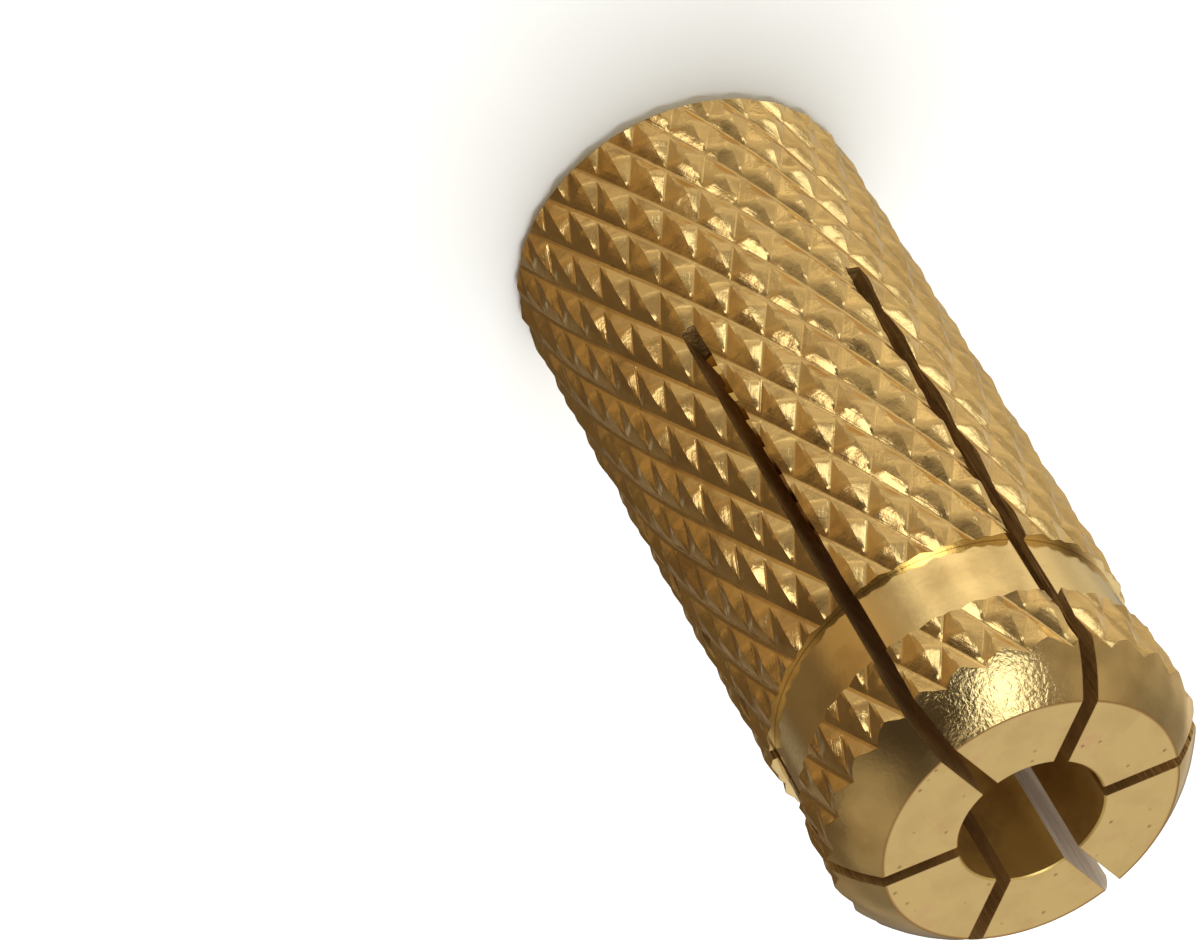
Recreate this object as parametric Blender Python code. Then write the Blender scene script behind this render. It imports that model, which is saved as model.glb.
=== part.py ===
"""Brass expansion anchor for a machine bolt.

One turned piece: a knurled plug with a countersunk bolt bore at its mouth and a narrowing
bore at its nose, where three saw cuts part the wall into six springing segments. Metres,
+Z up along the axis, with the origin at the middle of the mouth face.
"""

import math

import bmesh
import bpy
from mathutils import Matrix, Vector

MM = 0.001

# Bolt thread, a metric M12 x 1.75
THREAD_MAJOR_DIAMETER = 12.0 * MM
THREAD_MINOR_DIAMETER = 10.106 * MM

# Turned blank
WALL_OUTSIDE_THREAD = 1.5 * MM
LENGTH = 35.0 * MM
COUNTERSINK_MARGIN = 0.08 * MM
MOUTH_EDGE_WIDTH = 0.56 * MM
MOUTH_EDGE_HEIGHT = 0.62 * MM
MOUTH_EDGE_CROWN = 0.03 * MM

# Nose, with its bevelled band, its hole and the cone inside it
NOSE_BAND_WIDTH = 1.57 * MM
NOSE_BAND_HEIGHT = 1.95 * MM
NOSE_BAND_CROWN = 0.12 * MM
NOSE_HOLE_DIAMETER = 5.84 * MM
NOSE_HOLE_LENGTH = 6.5 * MM
CONE_LENGTH = 7.5 * MM

# Ring groove turned through the knurl, a little below its pits
GROOVE_BELOW_PITS = 0.09 * MM
GROOVE_WIDTH = 3.08 * MM
GROOVE_TO_NOSE = 4.55 * MM

# Diamond knurl of four-sided points; the knurling wheels' angles differ a little, so its
# columns twist slightly on the way up, and the points lean a little to one side
KNURL_POINT_COUNT = 27
KNURL_AXIAL_PITCH = 3.511 * MM
KNURL_DEPTH = 0.36 * MM
KNURL_FIRST_POINT_HEIGHT = 6.91 * MM
KNURL_FIRST_POINT_TURN = math.radians(273.2)
KNURL_TWIST = math.radians(2.66)
KNURL_LEAN = math.radians(-0.25)

# Saw cuts, each right across the nose; the work slipped a little after the first, and the
# segments have sprung a little, so the cuts differ in width
SAW_STOP_HEIGHT = 11.4 * MM
FIRST_CUT_WIDTH = 0.68 * MM
FIRST_CUT_TURN = math.radians(286.0)
SECOND_CUT_WIDTH = 0.64 * MM
SECOND_CUT_STEP = math.radians(-56.5)
THIRD_CUT_WIDTH = 0.52 * MM
THIRD_CUT_STEP = math.radians(-60.2)

# What a cutter reaches past the metal, and how finely round forms are drawn
CUTTER_REACH = 1.0 * MM
POINT_CLEARANCE = 0.25 * MM
ROUND_STEPS = 4 * KNURL_POINT_COUNT
ARC_STEPS = 5
SMOOTH_BELOW = math.radians(15.0)
WELD_DISTANCE = MM / 1000

# Derived sizes
OUTER_RADIUS = THREAD_MAJOR_DIAMETER / 2 + WALL_OUTSIDE_THREAD
BORE_RADIUS = THREAD_MINOR_DIAMETER / 2
NOSE_HOLE_RADIUS = NOSE_HOLE_DIAMETER / 2
COUNTERSINK_RADIUS = THREAD_MAJOR_DIAMETER / 2 + COUNTERSINK_MARGIN
MOUTH_FACE_RADIUS = OUTER_RADIUS - MOUTH_EDGE_WIDTH
NOSE_FACE_RADIUS = OUTER_RADIUS - NOSE_BAND_WIDTH
NOSE_BAND_START = LENGTH - NOSE_BAND_HEIGHT
GROOVE_END = LENGTH - GROOVE_TO_NOSE
GROOVE_START = GROOVE_END - GROOVE_WIDTH
PIT_RADIUS = OUTER_RADIUS - KNURL_DEPTH
GROOVE_FLOOR_RADIUS = PIT_RADIUS - GROOVE_BELOW_PITS
CONE_END = LENGTH - NOSE_HOLE_LENGTH
CONE_START = CONE_END - CONE_LENGTH


def clear_scene() -> None:
    """Removes every object of the open scene."""
    for old in list(bpy.data.objects):
        bpy.data.objects.remove(old, do_unlink=True)


def new_object(name: str, shape: bmesh.types.BMesh) -> bpy.types.Object:
    """Makes an object of a bmesh, with its faces pointing out."""
    bmesh.ops.recalc_face_normals(shape, faces=shape.faces)
    mesh = bpy.data.meshes.new(name)
    shape.to_mesh(mesh)
    shape.free()
    item = bpy.data.objects.new(name, mesh)
    bpy.context.scene.collection.objects.link(item)
    return item


def crowned_edge(start: tuple, end: tuple, crown: float) -> list:
    """Points of a bevel from start to end whose middle stands out from the straight by crown."""
    chord = Vector((end[0] - start[0], end[1] - start[1]))
    side = Vector((chord.y, -chord.x)).normalized()
    points = []
    for step in range(ARC_STEPS + 1):
        share = step / ARC_STEPS
        place = Vector(start) + chord * share + side * crown * math.sin(math.pi * share)
        points.append((place.x, place.y))
    return points


def turned(name: str, profile: list) -> bpy.types.Object:
    """Turns a profile of (radius, height) points, from axis to axis, into a closed solid."""
    shape = bmesh.new()
    start = Matrix.Rotation(KNURL_FIRST_POINT_TURN, 4, "Z")
    chain = [shape.verts.new(start @ Vector((radius, 0.0, height))) for radius, height in profile]
    for low, high in zip(chain, chain[1:]):
        shape.edges.new((low, high))
    bmesh.ops.spin(
        shape,
        geom=shape.verts[:] + shape.edges[:],
        axis=(0.0, 0.0, 1.0),
        cent=(0.0, 0.0, 0.0),
        angle=math.tau,
        steps=ROUND_STEPS,
    )
    bmesh.ops.remove_doubles(shape, verts=shape.verts, dist=WELD_DISTANCE)
    return new_object(name, shape)


def knurled_bar() -> bpy.types.Object:
    """Models a bar longer than the anchor, with its side pressed into rows of pointed diamonds.

    Every second corner of the grid is a point and the others are pits; the edges from pit to
    pit are the two families of crossing grooves.
    """
    half_pitch = KNURL_AXIAL_PITCH / 2
    columns = 2 * KNURL_POINT_COUNT
    half_turn = math.tau / columns
    row_twist = KNURL_TWIST * half_pitch / LENGTH
    first_row = math.floor(-(KNURL_FIRST_POINT_HEIGHT + CUTTER_REACH) / half_pitch)
    last_row = math.ceil((LENGTH - KNURL_FIRST_POINT_HEIGHT + CUTTER_REACH) / half_pitch)

    shape = bmesh.new()
    rows = []
    for row in range(first_row, last_row + 1):
        height = KNURL_FIRST_POINT_HEIGHT + row * half_pitch
        first_turn = KNURL_FIRST_POINT_TURN + row * row_twist
        ring = []
        for column in range(columns):
            is_point = (row + column) % 2 == 0
            radius = OUTER_RADIUS if is_point else PIT_RADIUS
            turn = first_turn + column * half_turn + (KNURL_LEAN if is_point else 0.0)
            ring.append(shape.verts.new((radius * math.cos(turn), radius * math.sin(turn), height)))
        rows.append(ring)

    for row, (low, high) in enumerate(zip(rows, rows[1:]), start=first_row):
        for column in range(columns):
            after = (column + 1) % columns
            corners = (low[column], low[after], high[after], high[column])
            groove_from = 1 if (row + column) % 2 == 0 else 0
            turned_corners = corners[groove_from:] + corners[:groove_from]
            shape.faces.new((turned_corners[0], turned_corners[1], turned_corners[2]))
            shape.faces.new((turned_corners[0], turned_corners[2], turned_corners[3]))
    shape.faces.new(list(reversed(rows[0])))
    shape.faces.new(rows[-1])
    return new_object("knurled_bar", shape)


def lathe_outline() -> bpy.types.Object:
    """Turns the outline that the lathe leaves of the bar: faces, edges, ring groove and nose."""
    clear_radius = OUTER_RADIUS + POINT_CLEARANCE
    profile = [(0.0, 0.0)]
    mouth_edge_end = (OUTER_RADIUS, MOUTH_EDGE_HEIGHT)
    profile += crowned_edge((MOUTH_FACE_RADIUS, 0.0), mouth_edge_end, MOUTH_EDGE_CROWN)
    profile += [
        (clear_radius, MOUTH_EDGE_HEIGHT + POINT_CLEARANCE),
        (clear_radius, GROOVE_START),
        (GROOVE_FLOOR_RADIUS, GROOVE_START),
        (GROOVE_FLOOR_RADIUS, GROOVE_END),
        (clear_radius, GROOVE_END),
        (clear_radius, NOSE_BAND_START - POINT_CLEARANCE),
    ]
    nose_band_start = (OUTER_RADIUS, NOSE_BAND_START)
    profile += crowned_edge(nose_band_start, (NOSE_FACE_RADIUS, LENGTH), NOSE_BAND_CROWN)
    profile += [(0.0, LENGTH)]
    return turned("lathe_outline", profile)


def bore_cutter() -> bpy.types.Object:
    """Turns the drilled inside: countersink, bolt bore, cone and nose hole."""
    countersink_depth = COUNTERSINK_RADIUS - BORE_RADIUS
    profile = [
        (0.0, -CUTTER_REACH),
        (COUNTERSINK_RADIUS + CUTTER_REACH, -CUTTER_REACH),
        (BORE_RADIUS, countersink_depth),
        (BORE_RADIUS, CONE_START),
        (NOSE_HOLE_RADIUS, CONE_END),
        (NOSE_HOLE_RADIUS, LENGTH + CUTTER_REACH),
        (0.0, LENGTH + CUTTER_REACH),
    ]
    return turned("bore_cutter", profile)


def saw_cutter(name: str, turn: float, width: float) -> bpy.types.Object:
    """Makes the slab that one saw cut takes out, right across the nose at the given turn."""
    reach = 2 * (OUTER_RADIUS + CUTTER_REACH)
    height = LENGTH + CUTTER_REACH - SAW_STOP_HEIGHT
    middle = SAW_STOP_HEIGHT + height / 2
    place = Matrix.Rotation(turn, 4, "Z") @ Matrix.Translation((0.0, 0.0, middle))
    size = Matrix.Diagonal((reach, width, height, 1.0))
    shape = bmesh.new()
    bmesh.ops.create_cube(shape, size=1.0, matrix=place @ size)
    return new_object(name, shape)


def cut(body: bpy.types.Object, tool: bpy.types.Object, operation: str) -> None:
    """Adds one exact boolean to the body and hides its tool."""
    step = body.modifiers.new(tool.name, "BOOLEAN")
    step.operation = operation
    step.solver = "EXACT"
    step.object = tool
    tool.hide_render = True
    tool.display_type = "WIRE"


def finish_cuts(body: bpy.types.Object) -> None:
    """Fixes the cuts in the body's mesh, and shades its round faces smooth and the rest flat."""
    view = bpy.context.evaluated_depsgraph_get()
    body.data = bpy.data.meshes.new_from_object(body.evaluated_get(view))
    body.modifiers.clear()
    body.data.shade_smooth()
    body.data.set_sharp_from_angle(angle=SMOOTH_BELOW)


def brass() -> bpy.types.Material:
    """Makes the warm yellow brass of the anchor."""
    metal = bpy.data.materials.new("brass")
    metal.use_nodes = True
    shader = metal.node_tree.nodes["Principled BSDF"]
    shader.inputs["Base Color"].default_value = (0.62, 0.41, 0.16, 1.0)
    shader.inputs["Metallic"].default_value = 1.0
    shader.inputs["Roughness"].default_value = 0.28
    return metal


def build_anchor() -> bpy.types.Object:
    """Builds the anchor as it is made: knurled bar, lathe work, drilling and three saw cuts."""
    body = knurled_bar()
    body.name = "anchor_body"
    body.data.materials.append(brass())
    cut(body, lathe_outline(), "INTERSECT")
    cut(body, bore_cutter(), "DIFFERENCE")
    second_turn = FIRST_CUT_TURN + SECOND_CUT_STEP
    third_turn = second_turn + THIRD_CUT_STEP
    cut(body, saw_cutter("first_saw_cut", FIRST_CUT_TURN, FIRST_CUT_WIDTH), "DIFFERENCE")
    cut(body, saw_cutter("second_saw_cut", second_turn, SECOND_CUT_WIDTH), "DIFFERENCE")
    cut(body, saw_cutter("third_saw_cut", third_turn, THIRD_CUT_WIDTH), "DIFFERENCE")
    finish_cuts(body)
    return body


clear_scene()
build_anchor()
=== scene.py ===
"""Looks of a brass expansion anchor: its knurl, lathe work, bolt thread, saw cuts and finishes.

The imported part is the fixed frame. One piece, made here with a finer surface, stands for its
only node. Lengths are in metres and angles in radians unless a name says otherwise.
"""

import logging
import math
from dataclasses import dataclass, field
from enum import Enum

import bpy
import numpy as np
from mathutils import Euler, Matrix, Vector, noise


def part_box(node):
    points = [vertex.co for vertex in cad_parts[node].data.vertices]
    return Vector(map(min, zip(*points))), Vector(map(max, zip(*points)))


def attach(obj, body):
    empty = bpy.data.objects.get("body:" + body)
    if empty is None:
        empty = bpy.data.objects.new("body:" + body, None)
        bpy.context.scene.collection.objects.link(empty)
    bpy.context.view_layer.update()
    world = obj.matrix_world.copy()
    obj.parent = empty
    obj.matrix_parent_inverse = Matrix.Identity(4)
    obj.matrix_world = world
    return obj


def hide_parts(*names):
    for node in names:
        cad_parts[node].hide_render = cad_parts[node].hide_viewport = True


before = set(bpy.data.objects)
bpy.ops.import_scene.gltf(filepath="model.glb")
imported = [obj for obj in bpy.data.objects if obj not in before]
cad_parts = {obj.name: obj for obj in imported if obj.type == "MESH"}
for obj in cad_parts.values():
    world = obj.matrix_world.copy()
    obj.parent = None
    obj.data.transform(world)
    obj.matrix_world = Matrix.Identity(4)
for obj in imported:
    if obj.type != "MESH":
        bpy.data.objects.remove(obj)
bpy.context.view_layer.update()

MM = 0.001
NODE = "anchor_body"
HEIGHT_DRAW = 1
LEAN_DRAW = 2
MERGE_DISTANCE = MM / 1000
log = logging.getLogger("expansion_anchor")


class Work(Enum):
    """The kinds of worked surface on the anchor, each with a finish of its own."""

    KNURLED = "knurled_brass"
    TURNED = "turned_brass"
    FACED = "faced_brass"
    BORED = "bored_brass"
    SAWN = "sawn_brass"


@dataclass(frozen=True)
class AnchorSizes:
    """Sizes that all the tools of the anchor share.

    Args:
        length: Height of the anchor, from the frame.
        outer_radius: Radius over the points of the knurl, from the frame.
    """

    length: float
    outer_radius: float
    bore_radius: float = 5.053 * MM
    thread_radius: float = 6.0 * MM
    thread_pitch: float = 1.75 * MM
    thread_depth: float = 16.5 * MM
    countersink_radius: float = 6.08 * MM
    mouth_edge_width: float = 0.56 * MM
    mouth_edge_height: float = 0.62 * MM
    nose_band_width: float = 1.57 * MM
    nose_band_height: float = 1.95 * MM
    nose_band_crown: float = 0.12 * MM
    nose_hole_radius: float = 2.92 * MM
    cone_start: float = 21.0 * MM
    cone_end: float = 28.5 * MM
    groove_start: float = 27.37 * MM
    groove_end: float = 30.45 * MM
    groove_below_pits: float = 0.16 * MM
    knurl_depth: float = 0.29 * MM
    reach: float = 1.0 * MM

    @property
    def pit_radius(self) -> float:
        """Radius of the bottoms of the knurl's grooves."""
        return self.outer_radius - self.knurl_depth

    @property
    def groove_floor_radius(self) -> float:
        """Radius of the floor of the ring groove."""
        return self.pit_radius - self.groove_below_pits

    @classmethod
    def from_frame(cls) -> "AnchorSizes":
        """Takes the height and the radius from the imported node.

        Returns:
            The sizes of the anchor.
        """
        low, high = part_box(NODE)
        return cls(length=high.z - low.z, outer_radius=(high.x - low.x) / 2)


def smooth_least(first: np.ndarray, second: np.ndarray, blend: float) -> np.ndarray:
    """Takes the lower of two fields, rounded over where they cross.

    Args:
        first: One field.
        second: The other field.
        blend: Difference over which the crossing is rounded.

    Returns:
        The rounded minimum.
    """
    overlap = np.maximum(blend - np.abs(first - second), 0.0) / blend
    return np.minimum(first, second) - overlap**2 * blend / 4


def deselect_all() -> None:
    """Leaves object mode with nothing selected."""
    if bpy.context.object and bpy.context.object.mode != "OBJECT":
        bpy.ops.object.mode_set(mode="OBJECT")
    bpy.ops.object.select_all(action="DESELECT")


def points_of(item: bpy.types.Object) -> np.ndarray:
    """Reads an object's vertices.

    Args:
        item: A mesh object.

    Returns:
        One row of three coordinates for each vertex.
    """
    flat = np.empty(len(item.data.vertices) * 3)
    item.data.vertices.foreach_get("co", flat)
    return flat.reshape(-1, 3)


def move_points(item: bpy.types.Object, points: np.ndarray) -> None:
    """Writes an object's vertices back after they have been moved.

    Args:
        item: A mesh object.
        points: One row of three coordinates for each vertex.
    """
    item.data.vertices.foreach_set("co", points.ravel())
    item.data.update()


def flat_grid(name: str, columns: int, rows: int) -> bpy.types.Object:
    """Adds a flat grid that is then wrapped round the axis.

    Args:
        name: Name of the new object.
        columns: Number of faces along X.
        rows: Number of faces along Y.

    Returns:
        The grid, one unit across and centred on the origin.
    """
    deselect_all()
    bpy.ops.mesh.primitive_grid_add(x_subdivisions=columns, y_subdivisions=rows, size=1.0)
    bpy.context.object.name = name
    return bpy.context.object


def close_seam(item: bpy.types.Object, ends: tuple[float, float]) -> None:
    """Joins the seam of a wrapped grid and closes its two ends with flat caps.

    Args:
        item: A grid that has been wrapped round the axis.
        ends: Heights of the lower and the upper cap.
    """
    bpy.ops.object.mode_set(mode="EDIT")
    bpy.ops.mesh.select_all(action="SELECT")
    bpy.ops.mesh.remove_doubles(threshold=MERGE_DISTANCE)
    bpy.ops.object.mode_set(mode="OBJECT")
    middle = sum(ends) / 2
    for height in ends:
        bpy.ops.object.mode_set(mode="EDIT")
        bpy.ops.mesh.select_mode(type="EDGE")
        bpy.ops.mesh.select_all(action="DESELECT")
        bpy.ops.mesh.select_non_manifold(
            extend=False, use_wire=False, use_multi_face=False, use_non_contiguous=False, use_verts=False
        )
        bpy.ops.object.mode_set(mode="OBJECT")
        drop_far_side(item, height > middle, middle)
        bpy.ops.object.mode_set(mode="EDIT")
        bpy.ops.mesh.extrude_region_move()
        bpy.ops.transform.resize(value=(1.0, 1.0, 0.0), center_override=(0.0, 0.0, height))
        bpy.ops.mesh.remove_doubles(threshold=MERGE_DISTANCE)
        bpy.ops.mesh.edge_face_add()
        bpy.ops.object.mode_set(mode="OBJECT")
    bpy.ops.object.mode_set(mode="EDIT")
    bpy.ops.mesh.select_all(action="SELECT")
    bpy.ops.mesh.dissolve_degenerate(threshold=MERGE_DISTANCE)
    bpy.ops.mesh.normals_make_consistent(inside=False)
    bpy.ops.object.mode_set(mode="OBJECT")


def drop_far_side(item: bpy.types.Object, keep_upper: bool, middle: float) -> None:
    """Deselects the edges on one side of a height.

    Args:
        item: A mesh object with edges selected.
        keep_upper: Whether the edges above the height stay selected.
        middle: The height that parts the two sides.
    """
    mesh = item.data
    for edge in mesh.edges:
        if edge.select:
            upper = mesh.vertices[edge.vertices[0]].co.z > middle
            edge.select = upper == keep_upper
    for vertex in mesh.vertices:
        vertex.select = False
    for edge in mesh.edges:
        if edge.select:
            mesh.vertices[edge.vertices[0]].select = True
            mesh.vertices[edge.vertices[1]].select = True


def turn_profile(name: str, rings: list[tuple[float, float]], steps: int) -> bpy.types.Object:
    """Turns a solid by extruding a disc ring by ring, as on a lathe.

    Args:
        name: Name of the new object.
        rings: Radius and height of each ring, from the bottom disc to the top disc.
        steps: Number of sides round the axis.

    Returns:
        The closed solid.
    """
    deselect_all()
    radius, height = rings[0]
    bpy.ops.mesh.primitive_circle_add(
        vertices=steps, radius=radius, fill_type="NGON", location=(0.0, 0.0, height)
    )
    solid = bpy.context.object
    solid.name = name
    bpy.ops.object.transform_apply(location=True, rotation=True, scale=True)
    bpy.ops.object.mode_set(mode="EDIT")
    bpy.ops.mesh.select_all(action="SELECT")
    for next_radius, next_height in rings[1:]:
        rise = (0.0, 0.0, next_height - height)
        grow = next_radius / radius
        bpy.ops.mesh.extrude_region_move(TRANSFORM_OT_translate={"value": rise})
        bpy.ops.transform.resize(value=(grow, grow, 1.0), center_override=(0.0, 0.0, next_height))
        radius, height = next_radius, next_height
    bpy.ops.mesh.select_all(action="SELECT")
    bpy.ops.mesh.normals_make_consistent(inside=False)
    bpy.ops.object.mode_set(mode="OBJECT")
    return solid


def crowned(
    start: tuple[float, float], end: tuple[float, float], crown: float, steps: int
) -> list[tuple[float, float]]:
    """Points of a bevel whose middle stands a little proud of the straight line.

    Args:
        start: Radius and height of the first point.
        end: Radius and height of the last point.
        crown: How far the middle stands proud.
        steps: Number of stretches.

    Returns:
        Radius and height of each point.
    """
    along = Vector((end[0] - start[0], end[1] - start[1]))
    side = Vector((along.y, -along.x)).normalized()
    points = []
    for step in range(steps + 1):
        share = step / steps
        place = Vector(start) + along * share + side * crown * math.sin(math.pi * share)
        points.append((place.x, place.y))
    return points


def paint_faces(item: bpy.types.Object, finish: bpy.types.Material) -> None:
    """Gives all faces of a tool the finish that it leaves on the metal.

    Args:
        item: A mesh object.
        finish: The material.
    """
    item.data.materials.clear()
    item.data.materials.append(finish)


def carve(body: bpy.types.Object, tool: bpy.types.Object, operation: str) -> None:
    """Cuts the body with a tool, hands the tool's finish to the cut and removes the tool.

    Args:
        body: The metal.
        tool: A closed solid.
        operation: INTERSECT or DIFFERENCE.
    """
    deselect_all()
    bpy.context.view_layer.objects.active = body
    body.select_set(True)
    bpy.ops.object.modifier_add(type="BOOLEAN")
    step = body.modifiers[-1]
    step.operation = operation
    step.solver = "MANIFOLD"
    step.material_mode = "TRANSFER"
    step.object = tool
    bpy.ops.object.modifier_apply(modifier=step.name)
    bpy.data.objects.remove(tool, do_unlink=True)


@dataclass(frozen=True)
class KnurlPattern:
    """The lattice of the knurl, which the metal and its finish share.

    Points lie where column and row add up to an even number, counted in half pitches. Two
    families of grooves run between them, each halfway between two whole lanes.
    """

    points_round: int = 27
    half_pitch: float = 3.511 / 2 * MM
    first_point_height: float = 6.91 * MM
    first_point_turn: float = math.radians(273.2)
    twist: float = math.radians(2.66) / (35.0 * MM)
    shallow_share: float = 0.24

    @property
    def half_turn(self) -> float:
        """Turn from one column to the next."""
        return math.pi / self.points_round

    @property
    def falling_twist(self) -> float:
        """Turn over height of the grooves that fall towards larger turns."""
        return self.twist - self.half_turn / self.half_pitch

    @property
    def rising_twist(self) -> float:
        """Turn over height of the grooves that rise towards larger turns."""
        return self.twist + self.half_turn / self.half_pitch


@dataclass
class KnurledBar:
    """The bar with its side pressed into rows of four-sided points."""

    sizes: AnchorSizes
    pattern: KnurlPattern
    lean: float = math.radians(-1.0)
    rows_below: int = 4
    rows_above: int = 16
    fineness: int = 8
    bulge: float = 0.4
    groove_round: float = 0.004
    ridge_round: float = 0.01
    point_round: float = 0.07
    uneven_height: float = 0.02 * MM
    uneven_size: float = 0.8 * MM
    uneven_points: float = 0.1
    uneven_lean: float = math.radians(0.9)
    uneven_pits: float = 0.3

    def relief(self, column: np.ndarray, row: np.ndarray) -> np.ndarray:
        """Height of the pressed surface above its pits, as a share of the knurl's depth.

        The falling grooves are pressed to the full depth and the rising ones a little less, so
        the flanks of the falling grooves run on unbroken beside their bottoms.

        Args:
            column: Place round the bar in half pitches.
            row: Place along the bar in half pitches.

        Returns:
            Nought at the pits and nearly one at the points.
        """
        flanks = []
        shallow = self.pattern.shallow_share
        for lane, bottom in (((column + row) / 2, 0.0), ((column - row) / 2, shallow)):
            from_groove = np.abs(lane - np.floor(lane) - 0.5)
            flank = 2 * (np.hypot(from_groove, self.groove_round) - self.groove_round)
            bulged = self.bulge * (lane - np.floor(lane) < 0.5) * (bottom == 0)
            flank *= 1 + bulged * (1 - flank)
            flanks.append(bottom + (1 - bottom) * flank)
        height = smooth_least(flanks[0], flanks[1], self.ridge_round)
        return 1.0 - np.hypot(1.0 - height, self.point_round)

    def chance(self, column: np.ndarray, row: np.ndarray, draw: int) -> np.ndarray:
        """Draws a number from minus one to one for each point of the knurl.

        Args:
            column: Place round the bar in half pitches.
            row: Place along the bar in half pitches.
            draw: Tells one set of numbers from another.

        Returns:
            The number of the point that each place belongs to.
        """
        around = self.pattern.points_round
        falling = np.round((column + row) / 2) % around
        rising = np.round((column - row) / 2) % around
        drawn = np.random.default_rng(draw).uniform(-1.0, 1.0, (around, around))
        return drawn[falling.astype(int), rising.astype(int)]

    def unevenness(self, places: np.ndarray) -> np.ndarray:
        """Small swellings that the knurling wheels leave in the metal.

        Args:
            places: Points on the bar.

        Returns:
            Height to add at each point.
        """
        return np.array([noise.noise(Vector(place) / self.uneven_size) for place in places])

    def split_along_grooves(self, bar: bpy.types.Object, columns: int, rows: int) -> None:
        """Splits the faces of the flat grid so that their new edges run along the grooves.

        Args:
            bar: The flat grid.
            columns: Number of its faces along X.
            rows: Number of its faces along Y.
        """
        for falling, method in ((1, "FIXED_ALTERNATE"), (0, "FIXED")):
            chosen = [False] * len(bar.data.polygons)
            for face in bar.data.polygons:
                if len(face.vertices) == 4:
                    column = math.floor((face.center.x + 0.5) * columns / self.fineness)
                    row = math.floor((face.center.y + 0.5) * rows / self.fineness)
                    chosen[face.index] = (column + row - self.rows_below) % 2 != falling
            bpy.ops.object.mode_set(mode="EDIT")
            bpy.ops.mesh.select_mode(type="FACE")
            bpy.ops.mesh.select_all(action="DESELECT")
            bpy.ops.object.mode_set(mode="OBJECT")
            bar.data.polygons.foreach_set("select", chosen)
            bpy.ops.object.mode_set(mode="EDIT")
            bpy.ops.mesh.quads_convert_to_tris(quad_method=method)
            bpy.ops.object.mode_set(mode="OBJECT")

    def build(self) -> bpy.types.Object:
        """Models the bar, a little longer than the anchor.

        Returns:
            The closed bar.
        """
        pattern = self.pattern
        columns = 2 * pattern.points_round * self.fineness
        rows = (self.rows_below + self.rows_above) * self.fineness
        bar = flat_grid("knurled_bar", columns, rows)
        self.split_along_grooves(bar, columns, rows)
        share = points_of(bar) + 0.5
        column = np.round(share[:, 0] * columns) % columns / self.fineness
        row = np.round(share[:, 1] * rows) / self.fineness - self.rows_below
        lower = self.uneven_points * abs(self.chance(column, row, HEIGHT_DRAW))
        relief = self.relief(column, row) * (1 - lower)
        rise = row * pattern.half_pitch
        turn = pattern.first_point_turn + column * pattern.half_turn + pattern.twist * rise
        turn += (self.lean + self.uneven_lean * self.chance(column, row, LEAN_DRAW)) * relief
        height = pattern.first_point_height + rise
        radius = self.sizes.pit_radius + self.sizes.knurl_depth * relief
        round_bar = np.stack([radius * np.cos(turn), radius * np.sin(turn), height], axis=1)
        free = np.clip(2 * relief + self.uneven_pits, 0, 1)
        swell = self.uneven_height * self.unevenness(round_bar) * free
        limit = self.sizes.outer_radius
        radius = np.minimum(radius + swell, limit)
        round_bar[:, 0] = radius * np.cos(turn)
        round_bar[:, 1] = radius * np.sin(turn)
        move_points(bar, round_bar)
        close_seam(bar, (-2 * self.sizes.reach, self.sizes.length + self.sizes.reach))
        return bar


@dataclass
class LatheOutline:
    """The outline that the lathe leaves of the bar: faces, edges, ring groove and nose."""

    sizes: AnchorSizes
    steps: int = 224
    point_clearance: float = 0.25 * MM
    bevel_steps: int = 6

    def build(self) -> bpy.types.Object:
        """Models the outline as a closed solid.

        Returns:
            The solid that the bar is cut down to.
        """
        s = self.sizes
        clear = s.outer_radius + self.point_clearance
        mouth_radius = s.outer_radius - s.mouth_edge_width
        nose_radius = s.outer_radius - s.nose_band_width
        band_start = s.length - s.nose_band_height
        floor = s.groove_floor_radius
        rings = [(mouth_radius, 0.0), (s.outer_radius, s.mouth_edge_height)]
        rings += [(clear, s.mouth_edge_height + self.point_clearance)]
        rings += [(clear, s.groove_start), (floor, s.groove_start)]
        rings += [(floor, s.groove_end), (clear, s.groove_end)]
        rings += [(clear, band_start - self.point_clearance)]
        nose_edge = (nose_radius, s.length)
        rings += crowned((s.outer_radius, band_start), nose_edge, s.nose_band_crown, self.bevel_steps)
        return turn_profile("lathe_outline", rings, self.steps)


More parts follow.
